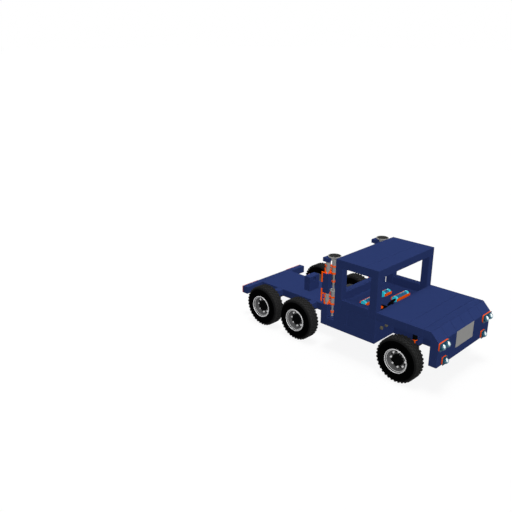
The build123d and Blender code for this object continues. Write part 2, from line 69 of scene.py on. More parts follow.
# ------------------------------------------------------------------ daylight and floor
# Two soft lamps overhead, a low one off the right front corner that fills the open cab, another
# low one behind, and an even sky.  Only the first throws shadows.  Eyes, gloss and clear plastic
# see the sky white; the truck is lit by the dimmer sky.
class Sock:
    """A socket of a finish, so that its maths is written as plain sums."""

    def __init__(self, tree, output=None):
        self.tree = tree
        self.output = output

    def node(self, kind, settings=None, inputs=None, output=0):
        """Adds a node with its settings, then the values or links of its sockets."""
        made = self.tree.nodes.new("ShaderNode" + kind)
        for name, value in (settings or {}).items():
            if name == "stops":
                for index, (place, colour) in enumerate(value):
                    ramp = made.color_ramp.elements
                    stop = ramp[index] if index < 2 else ramp.new(place)
                    stop.position = place
                    stop.color = colour
            else:
                setattr(made, name, value)
        for name, value in (inputs or {}).items():
            if isinstance(value, Sock):
                self.tree.links.new(value.output, made.inputs[name])
            else:
                made.inputs[name].default_value = value
        return Sock(self.tree, made.outputs[output])

    def maths(self, operation, *values):
        return self.node("Math", {"operation": operation}, dict(enumerate(values)))

    def __add__(self, other):
        return self.maths("ADD", self, other)

    __radd__ = __add__

    def __sub__(self, other):
        return self.maths("SUBTRACT", self, other)

    def __rsub__(self, other):
        return self.maths("SUBTRACT", other, self)

    def __mul__(self, other):
        return self.maths("MULTIPLY", self, other)

    __rmul__ = __mul__

    def __gt__(self, other):
        return self.maths("GREATER_THAN", self, other)

    def blend(self, low, high):
        """A colour between two, by this factor."""
        return self.node("Mix", {"data_type": "RGBA"}, {0: self, 6: low, 7: high}, output=2)


def background_ray(sock):
    """One for a ray of the camera, of gloss or of clear plastic, zero for one that lights."""
    camera_ray, glossy_ray, clear_ray = [sock.node("LightPath", output="Is %s Ray" % kind)
                                         for kind in ("Camera", "Glossy", "Transmission")]
    return (camera_ray + glossy_ray + clear_ray) > 0.5


SKY_LEVEL = 0.133
WHITE = (1.0, 1.0, 1.0, 1.0)
# Where each lamp stands, its level, its width in degrees and whether it throws shadows.
LAMPS = {
    "overhead": ((0.0, 0.0, 1.0), 0.90, 20.0, True),
    "overhead_fill": ((0.0, 0.0, 1.0), 0.98, 40.0, False),
    "corner_fill": ((-0.337, -0.487, 0.257), 2.03, 30.0, False),
    "back": ((0.66, 0.72, 0.03), 1.5, 50.0, False),
}

world = bpy.data.worlds.new("sky")
bpy.context.scene.world = world
world.use_nodes = True
sky = Sock(world.node_tree)
sky_colour = background_ray(sky).blend((SKY_LEVEL, SKY_LEVEL, SKY_LEVEL, 1.0), WHITE)
world.node_tree.links.new(sky_colour.output, world.node_tree.nodes["Background"].inputs["Color"])

for name, (source, level, width, shadow) in LAMPS.items():
    lamp = bpy.data.lights.new(name, "SUN")
    lamp.energy = level
    lamp.angle = radians(width)
    lamp.use_shadow = shadow
    holder = bpy.data.objects.new(name, lamp)
    holder.rotation_mode = "QUATERNION"
    holder.rotation_quaternion = Vector(source).to_track_quat("Z", "Y")
    bpy.context.scene.collection.objects.link(holder)

FLOOR_SIZE = 30.0
FLOOR_BOUNCE = 0.15     # how pale the floor is to the light that it throws back
FLOOR_SHADE = 0.22      # how much of the floor's look is lit, and so takes the shadow

bpy.ops.object.select_all(action="DESELECT")
bpy.ops.mesh.primitive_plane_add(size=FLOOR_SIZE, location=(0, 0, 0))
floor = bpy.context.object
floor.name = "floor"
floor_finish = bpy.data.materials.new("pale_floor")
floor_finish.use_nodes = True
floor.data.materials.append(floor_finish)
tree = floor_finish.node_tree
tree.nodes.remove(tree.nodes["Principled BSDF"])
ground = Sock(tree)
looked_at = background_ray(ground)
bounce = (FLOOR_BOUNCE, FLOOR_BOUNCE, FLOOR_BOUNCE, 1.0)
lit = ground.node("BsdfDiffuse", inputs={"Color": looked_at.blend(bounce, WHITE)})
plain = ground.node("Emission", inputs={"Color": WHITE, "Strength": 1.0})
surface = ground.node("MixShader", inputs={0: looked_at * (1 - FLOOR_SHADE), 1: lit, 2: plain})
tree.links.new(surface.output, tree.nodes["Material Output"].inputs["Surface"])

# ------------------------------------------------------------------ chassis
# Long smooth bricks under the cab and hood, a cross beam at the rear and the plain engine block.
# All are moulded of dark blue plastic with soft edges, hollow underneath with round tubes.
NAVY = (0.0265, 0.0445, 0.1500, 1.0)
NAVY_DEEP = (0.0235, 0.0400, 0.1380, 1.0)
EDGE_R = 0.18           # rounded edge of a moulded brick
BRICK_WALL = 1.4        # wall round a brick's hollow underside
BRICK_TOP = 1.6         # what is left over the hollow
PITCH = 8.0             # the bricks' grid
TUBE_OUTER = 3.2
TUBE_WALL = 0.8
TUBE_SIDES = 16
PIN_RADIUS = 1.5        # pins take the tubes' place under a brick one pitch wide
SMOOTH_UNDER = 38.0     # degrees between faces that still shade as one


def new_finish(name, roughness, specular=0.5, **constants):
    """An empty finish, its constant sockets set, and a socket to write its pattern with."""
    material = bpy.data.materials.new(name)
    material.use_nodes = True
    shader = material.node_tree.nodes["Principled BSDF"]
    shader.inputs["Roughness"].default_value = roughness
    shader.inputs["Specular IOR Level"].default_value = specular
    for socket, value in constants.items():
        shader.inputs[socket.replace("_", " ")].default_value = value
    return material, Sock(material.node_tree)


def join_finish(material, **values):
    """Links a pattern's results to the shader: Base_Color, Roughness, Metallic or Normal."""
    shader = material.node_tree.nodes["Principled BSDF"]
    for socket, value in values.items():
        material.node_tree.links.new(value.output, shader.inputs[socket.replace("_", " ")])


def noise(place, scale, detail, distortion=0.0):
    """A fine pattern of clouds at a place."""
    return place.node("TexNoise", inputs={"Vector": place, "Scale": scale, "Detail": detail,
                                          "Distortion": distortion})


def bump(height, strength, distance):
    """A skin that rises and falls with a pattern, by this distance in metres."""
    return height.node("Bump", inputs={"Height": height, "Strength": strength,
                                       "Distance": distance})


def moulded(name, colour, deep, roughness=0.34, specular=0.0, **constants):
    """Moulded plastic: an even colour with faint flow marks, fine scuffs and a satin skin."""
    material, sock = new_finish(name, roughness, specular, **constants)
    place = sock.node("TexCoord", output="Object")
    flow = noise(place, 140.0, 3.0, 0.6)
    grain = noise(place, 2600.0, 2.0)
    long_way = sock.node("Mapping", inputs={"Vector": place, "Rotation": (0.2, 0.5, 0.9),
                                            "Scale": (260.0, 5200.0, 2400.0)})
    scuffs = noise(long_way, 1.0, 1.0)
    rare = sock.node("ValToRGB", {"stops": ((0.60, (0, 0, 0, 1)), (0.72, WHITE))}, {"Fac": scuffs})
    join_finish(
        material, Base_Color=flow.blend(deep, colour),
        Roughness=roughness - 0.07 + flow * 0.12 + rare * 0.10,
        Normal=bump(grain * 0.6 + rare * -0.5, 0.22, 0.00004))
    return material


navy_plastic = moulded("navy_plastic", NAVY, NAVY_DEEP)


def choose(piece):
    """Makes a piece the one that is selected and active."""
    bpy.ops.object.select_all(action="DESELECT")
    piece.select_set(True)
    bpy.context.view_layer.objects.active = piece


def edit(on):
    """Opens or closes the chosen piece's mesh for work with faces, edges and vertices."""
    bpy.ops.object.mode_set(mode="EDIT" if on else "OBJECT")


def extrude(move):
    """Draws what is picked out by a move in metres."""
    bpy.ops.mesh.extrude_region_move(TRANSFORM_OT_translate={"value": move})


def pick(piece, kind, wanted):
    """In edit mode, selects the faces, edges or vertices that pass the test, and no others."""
    bpy.ops.mesh.select_mode(type=kind)
    bpy.ops.mesh.select_all(action="DESELECT")
    shape = bmesh.from_edit_mesh(piece.data)
    for element in {"FACE": shape.faces, "EDGE": shape.edges, "VERT": shape.verts}[kind]:
        if wanted(element):
            element.select_set(True)
    bmesh.update_edit_mesh(piece.data)


def pick_faces(piece, wanted):
    """Selects the faces whose middle and normal pass the test."""
    pick(piece, "FACE", lambda face: wanted(face.calc_center_median(), face.normal))


def modify(piece, kind, **settings):
    """Adds a modifier to a piece and applies it."""
    choose(piece)
    modifier = piece.modifiers.new(kind, kind)
    for name, value in settings.items():
        setattr(modifier, name, value)
    bpy.ops.object.modifier_apply(modifier=modifier.name)


def soft_edges(piece, width=EDGE_R):
    """Rounds the sharp edges of a piece, by a width in millimetres."""
    modify(piece, "BEVEL", width=width * MM, segments=2, limit_method="ANGLE",
           angle_limit=radians(30), use_clamp_overlap=True)


def settled(piece):
    """Puts the place, turn and size of the chosen piece into its mesh."""
    bpy.ops.object.transform_apply(location=True, rotation=True, scale=True)
    return piece


def joined(pieces):
    """One object of several."""
    choose(pieces[0])
    for piece in pieces:
        piece.select_set(True)
    if len(pieces) > 1:
        bpy.ops.object.join()
    return bpy.context.object


def dressed(piece, name, material, slot, body, *nodes):
    """Shades a finished piece, gives it its finish and ties it to the frame."""
    choose(piece)
    piece.name = name
    piece.data.name = name
    bpy.ops.object.shade_smooth_by_angle(angle=radians(SMOOTH_UNDER))
    modify(piece, "WEIGHTED_NORMAL", keep_sharp=True)
    if material:
        piece.data.materials.clear()
        piece.data.materials.append(material)
    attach(piece, body)
    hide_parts(*nodes)


def fixed(pieces, node, material, slot):
    """Joins the parts of a piece that stays on the truck, in place of the CAD node."""
    dressed(joined(pieces), node + "_moulded", material, slot, "truck", node)


def solids(node):
    """Lowest and highest corner of each solid in a CAD node, in the frame's metres."""
    shape = bmesh.new()
    shape.from_mesh(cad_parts[node].data)
    bmesh.ops.remove_doubles(shape, verts=shape.verts, dist=MM / 1000)
    unseen = set(shape.verts)
    boxes = []
    while unseen:
        group = {unseen.pop()}
        edge = list(group)
        while edge:
            for link in edge.pop().link_edges:
                for vertex in link.verts:
                    if vertex in unseen:
                        unseen.remove(vertex)
                        group.add(vertex)
                        edge.append(vertex)
        corners = [[pick(v.co[axis] for v in group) for axis in range(3)] for pick in (min, max)]
        boxes.append((Vector(corners[0]), Vector(corners[1])))
    shape.free()
    return sorted(boxes, key=lambda box: tuple(round(c, 5) for c in box[0]))


def box_between(low, high):
    """A box primitive between two corners, its place in its mesh."""
    bpy.ops.object.select_all(action="DESELECT")
    bpy.ops.mesh.primitive_cube_add(size=1, location=(low + high) / 2, scale=high - low)
    return settled(bpy.context.object)


def under_tubes(low, high):
    """The tubes, or pins, that stand in a grid in the hollow under a brick."""
    size = (high - low) / MM
    counts = [max(1, round(size[axis] / PITCH) - 1) for axis in range(2)]
    narrow = min(size[0], size[1]) < 1.5 * PITCH
    radius = PIN_RADIUS if narrow else TUBE_OUTER
    start = [(low[axis] + high[axis] - (counts[axis] - 1) * PITCH * MM) / 2 for axis in range(2)]
    depth = high.z - low.z - BRICK_TOP * MM
    bpy.ops.object.select_all(action="DESELECT")
    bpy.ops.mesh.primitive_cylinder_add(
        vertices=TUBE_SIDES, radius=radius * MM, depth=depth, end_fill_type="NGON",
        location=(start[0], start[1], low.z + depth / 2 + EDGE_R * MM))
    tube = settled(bpy.context.object)
    edit(True)
    pick_faces(tube, lambda middle, normal: normal.z < -0.9)
    bpy.ops.mesh.inset(thickness=TUBE_WALL * MM)
    if not narrow:
        extrude((0, 0, depth - MM))
    edit(False)
    for axis in range(2):
        step = [0.0, 0.0, 0.0]
        step[axis] = PITCH * MM
        modify(tube, "ARRAY", count=counts[axis], use_relative_offset=False,
               use_constant_offset=True, constant_offset_displace=step)
    return tube


def brick(low, high, hollow):
    """A smooth brick with rounded edges; a hollow one shows its walls and tubes from below."""
    piece = box_between(low, high)
    if hollow:
        edit(True)
        pick_faces(piece, lambda middle, normal: normal.z < -0.9)
        bpy.ops.mesh.inset(thickness=BRICK_WALL * MM)
        depth = high.z - low.z - BRICK_TOP * MM
        extrude((0, 0, depth))
        edit(False)
    soft_edges(piece)
    return joined([piece, under_tubes(low, high)]) if hollow else piece


def bricks(node, material=navy_plastic, slot="navy_plastic", hollow=False):
    """The bricks of one CAD node, each in its own place."""
    fixed([brick(low, high, hollow) for low, high in solids(node)], node, material, slot)


for node in ("chassis_nose", "chassis_deck", "rear_beam"):
    bricks(node, hollow=True)
bricks("engine_block")

# ------------------------------------------------------------------ wheel holders
# Beside the chassis at every wheel stands a blue block.  Under it a black foot with a leg carries
# a collar and a smooth pin, on which the wheel turns freely.  None of the wheels steers.
BLACK = (0.0050, 0.0051, 0.0054, 1.0)
BLACK_DEEP = (0.0032, 0.0033, 0.0036, 1.0)
AXLES = ("front", "middle", "rear")
SIDES = {"right": -1, "left": 1}
CHASSIS_HALVES = {"front": 16.0, "middle": 24.0, "rear": 24.0}
CHASSIS_Z = 25.6
AXLE_Z = 21.6
FOOT_T = 1.4
FRONT_LEDGE = 5.0       # front feet reach out to carry the dampers
LEG = Vector((4.5, 5.2, 8.25))
LEG_SEAT = 0.25         # how far a leg reaches into its foot
GAP = 0.1               # bricks stand back from their grid lines
STUB_R = 3.6
STUB_END = 40.2
PIN_END = 51.3
PIN_SEEN = 2.38         # a hair under the bore's size
STUB_EDGE = 0.3
PIN_EDGE = 0.4
ROUND = 48              # sides of a turned piece

black_plastic = moulded("black_plastic", BLACK, BLACK_DEEP, roughness=0.38)
axle_ys = {}
for name in AXLES:
    low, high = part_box("hub_gear_%s_left" % name)
    axle_ys[name] = (low.y + high.y) / 2


def lathe(outline, centre, axis, steps=ROUND):
    """Turns an outline of (radius, along) points, in millimetres, about an axis."""
    axis = Vector(axis).normalized()
    spoke = axis.orthogonal().normalized()
    places = [centre + (axis * along + spoke * radius) * MM for radius, along in outline]
    bpy.ops.object.select_all(action="DESELECT")
    bpy.ops.mesh.primitive_plane_add(size=MM, location=places[0])
    piece = settled(bpy.context.object)
    edit(True)
    bpy.ops.mesh.select_mode(type="VERT")
    bpy.ops.mesh.select_all(action="SELECT")
    bpy.ops.mesh.merge(type="CENTER")
    for here, there in zip(places, places[1:]):
        extrude(there - here)
    bpy.ops.mesh.select_all(action="SELECT")
    bpy.ops.mesh.spin(steps=steps, angle=2 * pi, center=centre, axis=axis)
    bpy.ops.mesh.select_all(action="SELECT")
    bpy.ops.mesh.remove_doubles(threshold=MM / 200)
    bpy.ops.mesh.normals_make_consistent(inside=False)
    edit(False)
    return piece


bricks("axle_blocks")
axle_parts = []
for name in AXLES:
    for side in SIDES.values():
        inner = CHASSIS_HALVES[name] + GAP
        outer = CHASSIS_HALVES[name] + PITCH - GAP
        ledge = outer + (FRONT_LEDGE if name == "front" else 0.0)
        at = Vector((side * (inner + ledge) / 2 * MM, axle_ys[name], (CHASSIS_Z + FOOT_T / 2) * MM))
        reach = Vector((ledge - inner, PITCH - 2 * GAP, FOOT_T)) / 2 * MM
        axle_parts.append(brick(at - reach, at + reach, False))
        start = outer - LEG.x / 2
        at = Vector((side * start * MM, axle_ys[name], (CHASSIS_Z + LEG_SEAT - LEG.z / 2) * MM))
        axle_parts.append(brick(at - LEG / 2 * MM, at + LEG / 2 * MM, False))
        outline = [(0, start), (STUB_R, start), (STUB_R, STUB_END - STUB_EDGE),
                   (STUB_R - STUB_EDGE, STUB_END), (PIN_SEEN, STUB_END),
                   (PIN_SEEN, PIN_END - PIN_EDGE), (PIN_SEEN - PIN_EDGE, PIN_END), (0, PIN_END)]
        centre = Vector((0, axle_ys[name], AXLE_Z * MM))
        axle_parts.append(lathe(outline, centre, (side, 0, 0)))
fixed(axle_parts, "axles", black_plastic, "black_plastic")

# ------------------------------------------------------------------ coupling
# Two bricks on the deck between the rear axles: a plain foot and a socket with a pin hole
# through it, and a clear red ring pressed onto the hole's rear end.
RED = (0.560, 0.012, 0.010, 1.0)
RED_DEEP = (0.430, 0.006, 0.006, 1.0)
BORE_R = 2.45
COLLAR_R = 3.7
COLLAR_BORE_R = 2.9
COLLAR_EDGE = 0.3
COLLAR_LIP = 0.2


def plug(radius, start, end):
    """The outline of a plain round body between two places along its axis."""
    return [(0, start), (radius, start), (radius, end), (0, end)]


def cut(piece, cutter):
    """Takes one piece's volume out of another and throws the cutter away."""
    modify(piece, "BOOLEAN", operation="DIFFERENCE", solver="EXACT", object=cutter)
    bpy.data.objects.remove(cutter, do_unlink=True)
    return piece


def clear_plastic(name, colour, deep, transmission, roughness=0.08, specular=0.4, **constants):
    """Clear moulded plastic: tinted through, with faint swirls and a polished skin."""
    material, sock = new_finish(name, roughness, specular, Transmission_Weight=transmission,
                                IOR=1.45, **constants)
    place = sock.node("TexCoord", output="Object")
    swirl = noise(place, 260.0, 2.0, 1.2)
    join_finish(material, Base_Color=swirl.blend(deep, colour),
                Roughness=roughness - 0.02 + swirl * 0.05, Normal=bump(swirl, 0.15, 0.00008))
    return material


red_plastic = clear_plastic("red_plastic", RED, RED_DEEP, 0.15)
bricks("coupling_post")
low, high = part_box("coupling_socket")
middle = (low + high) / 2
socket = box_between(low, high)
reach = (high.y - low.y) / MM
cut(socket, lathe(plug(BORE_R, -reach, reach), middle, (0, 1, 0)))
soft_edges(socket)
fixed([socket], "coupling_socket", navy_plastic, "navy_plastic")
low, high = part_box("coupling_collar")
middle = (low + high) / 2
deep = (high.y - low.y) / MM / 2
collar = lathe([(COLLAR_BORE_R, -deep), (COLLAR_R, -deep), (COLLAR_R, deep - COLLAR_EDGE),
                (COLLAR_R - COLLAR_EDGE, deep), (COLLAR_BORE_R + COLLAR_LIP, deep),
                (COLLAR_BORE_R, deep - COLLAR_LIP), (COLLAR_BORE_R, -deep)], middle, (0, 1, 0))
fixed([collar], "coupling_collar", red_plastic, "red_plastic")

# ------------------------------------------------------------------ tyres
# Six narrow black rubber tyres with round smooth sidewalls and four staggered rows of small
# lugs.  The tread is dull and a little paler than the smooth sides.
RUBBER = (0.0016, 0.0016, 0.0017, 1.0)
RUBBER_DEEP = (0.0010, 0.0010, 0.0011, 1.0)
SHOULDER = (0.0110, 0.0110, 0.0112, 1.0)
SHOULDER_DEEP = (0.0075, 0.0075, 0.0077, 1.0)
TREAD = (0.0330, 0.0330, 0.0330, 1.0)
TREAD_DEEP = (0.0180, 0.0180, 0.0180, 1.0)
WHEEL_X = 48.0          # middle of a wheel
SHOULDER_FROM = 18.6    # radius where the smooth side turns into the duller shoulder
TREAD_FROM = 20.3       # radius where the paler tread begins
LUGS = 36
TYRE_STEPS = 8 * LUGS
LUG_H = 1.0
LUG_SHARE = 0.52        # part of the way round that the lugs of a row take up
LUG_EDGE = 0.1
ROOT_R = 20.6
NEAR = 0.05             # a face this near to a surface is on it
GROOVE = 0.30           # half of each groove round the tread
SIPE_X = 2.75           # a finer groove splits every lug about here
SIPE = 0.25
CROWN = 5.2             # half the tread's width
# Radius and distance from the wheel's middle, from the tread down to the rim.
TYRE_OUTLINE = (
    (20.6, 5.2), (20.1, 5.25), (19.95, 5.5), (19.5, 5.95), (18.8, 6.4), (17.8, 6.8),
    (16.6, 7.0), (15.4, 6.95), (14.6, 6.8), (14.4, 6.9), (13.4, 6.9), (12.4, 6.8),
    (11.9, 6.6), (11.65, 5.4))
TREAD_XS = (CROWN, SIPE_X + SIPE, SIPE_X - SIPE, GROOVE, -GROOVE, -SIPE_X + SIPE, -SIPE_X - SIPE)
# Both edges of each row of lugs, and its shift in lugs.
LUG_BANDS = ((SIPE_X + SIPE, CROWN, 0.0), (GROOVE, SIPE_X - SIPE, 0.5),
             (-SIPE_X + SIPE, -GROOVE, 0.0), (-CROWN, -SIPE_X - SIPE, 0.5))


def coat_faces(piece, finish, wanted):
    """Gives the faces that pass the test one more finish than the piece has."""
    piece.data.materials.append(finish)
    choose(piece)
    edit(True)
    pick_faces(piece, wanted)
    piece.active_material_index = len(piece.data.materials) - 1
    bpy.ops.object.material_slot_assign()
    edit(False)


def rubber(name, colour, deep, roughness, grit):
    """Dull rubber with a fine grain and slightly greyer bloom here and there."""
    material, sock = new_finish(name, roughness, 0.0)
    place = sock.node("TexCoord", output="Object")
    bloom = noise(place, 220.0, 4.0)
    grain = noise(place, 3400.0, 2.0)
    pores = sock.node("TexVoronoi", inputs={"Vector": place, "Scale": 2200.0})
    join_finish(material, Base_Color=(bloom * 0.7 + grain * 0.3).blend(deep, colour),
                Roughness=roughness - 0.08 + bloom * 0.16,
                Normal=bump(grain + pores * 0.5, grit, 0.00006))
    return material


tyre_side = rubber("tyre_rubber", RUBBER, RUBBER_DEEP, 0.42, 0.25)
tyre_shoulder = rubber("tyre_shoulder_rubber", SHOULDER, SHOULDER_DEEP, 0.60, 0.40)
tyre_tread = rubber("tyre_tread_rubber", TREAD, TREAD_DEEP, 0.72, 0.6)

hub_at = Vector((-WHEEL_X * MM, axle_ys["front"], AXLE_Z * MM))
outer_side = [(radius, -along) for radius, along in TYRE_OUTLINE[::-1]]
crown = [(ROOT_R, -x) for x in TREAD_XS[1:]]
tyre = lathe([*outer_side, *crown, *TYRE_OUTLINE, outer_side[0]], hub_at, (1, 0, 0), TYRE_STEPS)
tyre.data.materials.append(tyre_side)


def on_lug(middle, normal):
    """Whether a face of the smooth tread is the foot of a lug."""
    offset = (middle - hub_at) / MM
    if offset.yz.length < ROOT_R - NEAR or abs(normal.x) > 0.3:
        return False
    turn = degrees(atan2(offset.z, offset.y)) * LUGS / 360
    for low, high, phase in LUG_BANDS:
        if low < -offset.x < high:
            return abs((turn + phase + 0.5) % 1 - 0.5) < LUG_SHARE / 2
    return False


edit(True)
pick_faces(tyre, on_lug)
bpy.ops.mesh.extrude_region_shrink_fatten(TRANSFORM_OT_shrink_fatten={"value": LUG_H * MM})
bpy.ops.mesh.bevel(offset=LUG_EDGE * MM, segments=1, affect="EDGES")
edit(False)
for finish, start in ((tyre_shoulder, SHOULDER_FROM), (tyre_tread, TREAD_FROM)):
    coat_faces(tyre, finish, lambda middle, normal: (middle - hub_at).yz.length > start * MM)


def fit_wheels(piece, stem, slot, suffix, material=None):
    """Puts a wheel's piece, modelled at the right front wheel, on all six wheels."""
    for axle_name in AXLES:
        for side_name, side in SIDES.items():
            turned = side > 0
            middle = -hub_at if turned else hub_at
            twin = piece.copy()
            twin.data = piece.data.copy()
            bpy.context.scene.collection.objects.link(twin)
            choose(twin)
            twin.rotation_euler.z = pi if turned else 0.0
            twin.location = (side * WHEEL_X * MM - middle.x, axle_ys[axle_name] - middle.y, 0)
            wheel = axle_name + "_" + side_name
            dressed(settled(twin), stem + "_" + wheel + suffix, material, slot, "wheel_" + wheel,
                    stem + "_" + wheel)
    bpy.data.objects.remove(piece, do_unlink=True)


fit_wheels(tyre, "tyre", "tyre_rubber", "_rubber")

# ------------------------------------------------------------------ rims
# Silver coated plastic rims: a lip and first step brightened as a painted highlight, a dull
# stepped cone down to a flat disc, its silver darkened partly as painted shade, with eight bright
# studs and eight holes painted black inside as shade by turns, and an open back with the hub's
# sleeve on the pin.
# Bright silver of the studs and of the painted highlights on the lip and step.
SILVER = (0.900, 0.900, 0.905, 1.0)
SILVER_DEEP = (0.740, 0.740, 0.745, 1.0)
# Dull silver, darkened partly as painted shade of the cone and disc.
SHADED_DULL = (0.135, 0.135, 0.137, 1.0)
SHADED_DULL_DEEP = (0.070, 0.070, 0.072, 1.0)
FACE_X = 1.7            # disc's outer face from the wheel's middle
BACK_X = 0.9            # and its inner face, on the other side
BORE_RING = 0.25        # how far the disc is raised round the bore
STUDS = 8               # and as many holes
HOLE_R = 0.95
RING_R = 7.5            # studs and holes lie on this circle
SMALL_ROUND = 20        # sides of a stud or hole
FINE_ROUND = 96         # and of the rim
HOLE_DEPTH = 1.6
# A stud's radius and how far behind the disc's face that is.
STUD_OUTLINE = ((0, 0.2), (0.95, 0.2), (0.95, -1.3), (0.65, -1.5), (0, -1.5))
# Radii between which the rim takes a painted highlight: its lip and the first step inside it.
RIM_HIGHLIGHTS = ((10.9, 11.7), (9.95, 10.35))


def coated(name, colour, deep, metallic):
    """Silver lacquer on plastic, with fine flakes and faint clouds."""
    material, sock = new_finish(name, 0.30, 0.1)
    place = sock.node("TexCoord", output="Object")
    flake = noise(place, 5200.0, 1.0)
    cloud = noise(place, 180.0, 3.0)
    join_finish(material, Base_Color=(flake * 0.6 + cloud * 0.4).blend(deep, colour),
                Metallic=metallic + cloud * 0.1, Roughness=0.26 + cloud * 0.1,
                Normal=bump(flake, 0.15, 0.00003))
    return material


# The bright silver carries the painted highlights, and the dull one the painted shade.
rim_silver = coated("rim_silver", SILVER, SILVER_DEEP, 0.35)
rim_shaded_dull = coated("rim_shaded_dull_silver", SHADED_DULL, SHADED_DULL_DEEP, 0.05)
rim = lathe([
    (11.6, 7.3), (11.6, -7.1), (11.45, -7.3), (11.0, -7.3), (10.85, -7.1), (10.7, -6.1),
    (10.35, -6.0), (10.0, -5.9), (9.8, -4.2), (9.5, -4.0), (9.3, -2.0), (9.1, -FACE_X),
    (6.4, -FACE_X), (6.3, -FACE_X - BORE_RING), (BORE_R, -FACE_X - BORE_RING), (BORE_R, 7.3),
    (3.8, 7.3), (4.0, 7.1), (4.0, BACK_X), (9.9, BACK_X), (10.2, BACK_X + 0.5), (10.2, 7.1),
    (10.4, 7.3), (11.6, 7.3)], hub_at, (1, 0, 0), FINE_ROUND)


def ring_of(outline, phase):
    """Turned pieces in a ring on the disc, all joined, turned by this part of their step."""
    pieces = []
    for index in range(STUDS):
        turn = (index + phase) * 2 * pi / STUDS
        at = hub_at + Vector((-FACE_X, RING_R * cos(turn), RING_R * sin(turn))) * MM
        pieces.append(lathe(outline, at, (1, 0, 0), SMALL_ROUND))
    return joined(pieces)


cut(rim, ring_of(plug(HOLE_R, -HOLE_DEPTH, HOLE_DEPTH), 0.5))
rim.data.materials.clear()
rim.data.materials.append(rim_shaded_dull)


def in_rim_highlight(middle, normal):
    """Whether a face of the rim's outer side lies in a band of painted highlight."""
    offset = (middle - hub_at) / MM
    outside = offset.x < -FACE_X - NEAR
    return outside and any(low < offset.yz.length < high for low, high in RIM_HIGHLIGHTS)


def in_hole(middle, normal):
    """Whether a face of the rim lies in one of the disc's small holes."""
    offset = (middle - hub_at) / MM
    turn = (atan2(offset.z, offset.y) * STUDS / (2 * pi)) % 1 - 0.5
    aside = turn * 2 * pi / STUDS * RING_R
    away = hypot(offset.yz.length - RING_R, aside)
    return away < HOLE_R + NEAR and -FACE_X + NEAR < offset.x < 0


# Paints highlights on the lip and the first step.
coat_faces(rim, rim_silver, in_rim_highlight)
# Paints the inside of each hole black, as shade.
coat_faces(rim, black_plastic, in_hole)
studs = ring_of(STUD_OUTLINE, 0.0)
studs.data.materials.append(rim_silver)
rim = joined([rim, studs])
fit_wheels(rim, "rim", "rim_silver", "_moulded")

# ------------------------------------------------------------------ hub gears
# A black toothed bush closes each pin hole: twelve square teeth round a disc that stands 3 mm
# off the rim's disc, with a shallow ring sunk in its end.
GEAR_R = 5.6
GEAR_TOOTH = 1.0
GEAR_TEETH = 12
GEAR_FROM = FACE_X + 0.28       # just clear of the raised ring round the bore
GEAR_END = 4.7
MARK_INSET = 1.6
MARK_DEPTH = 0.45
MARK_RING = 1.0         # the ring's width
MARK_RISE = 0.3         # how far the middle comes out again

bpy.ops.object.select_all(action="DESELECT")
bpy.ops.mesh.primitive_cylinder_add(
    vertices=4 * GEAR_TEETH, radius=(GEAR_R - GEAR_TOOTH) * MM, depth=(GEAR_END - GEAR_FROM) * MM,
    rotation=(0, radians(90), 0), location=hub_at - Vector(((GEAR_FROM + GEAR_END) / 2 * MM, 0, 0)))
gear = settled(bpy.context.object)
edit(True)


def on_tooth(middle, normal):
    """Whether a side face of the bush carries a tooth."""
    if abs(normal.x) > 0.5:
        return False
    turn = degrees(atan2(middle.z - hub_at.z, middle.y - hub_at.y)) * GEAR_TEETH / 360
    return abs((turn + 0.5) % 1 - 0.5) < 0.25


pick_faces(gear, on_tooth)
bpy.ops.mesh.extrude_region_shrink_fatten(TRANSFORM_OT_shrink_fatten={"value": GEAR_TOOTH * MM})
pick_faces(gear, lambda middle, normal: normal.x < -0.5 and (middle - hub_at).yz.length < MM)
bpy.ops.mesh.inset(thickness=MARK_INSET * MM)
extrude((MARK_DEPTH * MM, 0, 0))
bpy.ops.mesh.inset(thickness=MARK_RING * MM)
extrude((-MARK_RISE * MM, 0, 0))
edit(False)
soft_edges(gear, 0.14)
fit_wheels(gear, "hub_gear", "black_plastic", "_moulded", black_plastic)

# ------------------------------------------------------------------ front dampers
# Two short uprights stand on the front feet and show in the wheel arches: a thin orange stem
# with a round plate on it, and a black head.
ORANGE = (1.000, 0.120, 0.003, 1.0)
ORANGE_DEEP = (0.920, 0.095, 0.002, 1.0)
STEM_R = 0.7
STEM_PLATE = 0.9        # the round plate's thickness
DAMPER_EDGE = 0.2
HEAD_GROOVE = 0.35      # depth of the groove near the head's top

orange_plastic = moulded("orange_plastic", ORANGE, ORANGE_DEEP, roughness=0.30)


def upright(low, high):
    """Radius and height in millimetres, and foot, of a round piece that stands in a box."""
    foot = Vector(((low.x + high.x) / 2, (low.y + high.y) / 2, low.z))
    return (high.x - low.x) / 2 / MM, (high.z - low.z) / MM, foot


heads = []
for low, high in solids("front_dampers"):
    radius, tall, foot = upright(low, high)
    waist = radius - HEAD_GROOVE
    heads.append(lathe([(0, 0), (radius - DAMPER_EDGE, 0), (radius, DAMPER_EDGE),
                        (radius, tall - 1.4), (waist, tall - 1.2), (waist, tall - 0.9),
                        (radius, tall - 0.7), (radius, tall - DAMPER_EDGE),
                        (radius - DAMPER_EDGE, tall), (0, tall)], foot, (0, 0, 1)))
fixed(heads, "front_dampers", black_plastic, "black_plastic")
stems = []
for low, high in solids("damper_stems"):
    radius, tall, foot = upright(low, high)
    plate = tall - STEM_PLATE
    stems.append(lathe([(0, 0), (STEM_R, 0), (STEM_R, plate), (radius - DAMPER_EDGE, plate),
                        (radius, plate + DAMPER_EDGE), (radius, tall - DAMPER_EDGE),
                        (radius - DAMPER_EDGE, tall), (0, tall)], foot, (0, 0, 1)))
fixed(stems, "damper_stems", orange_plastic, "orange_plastic")

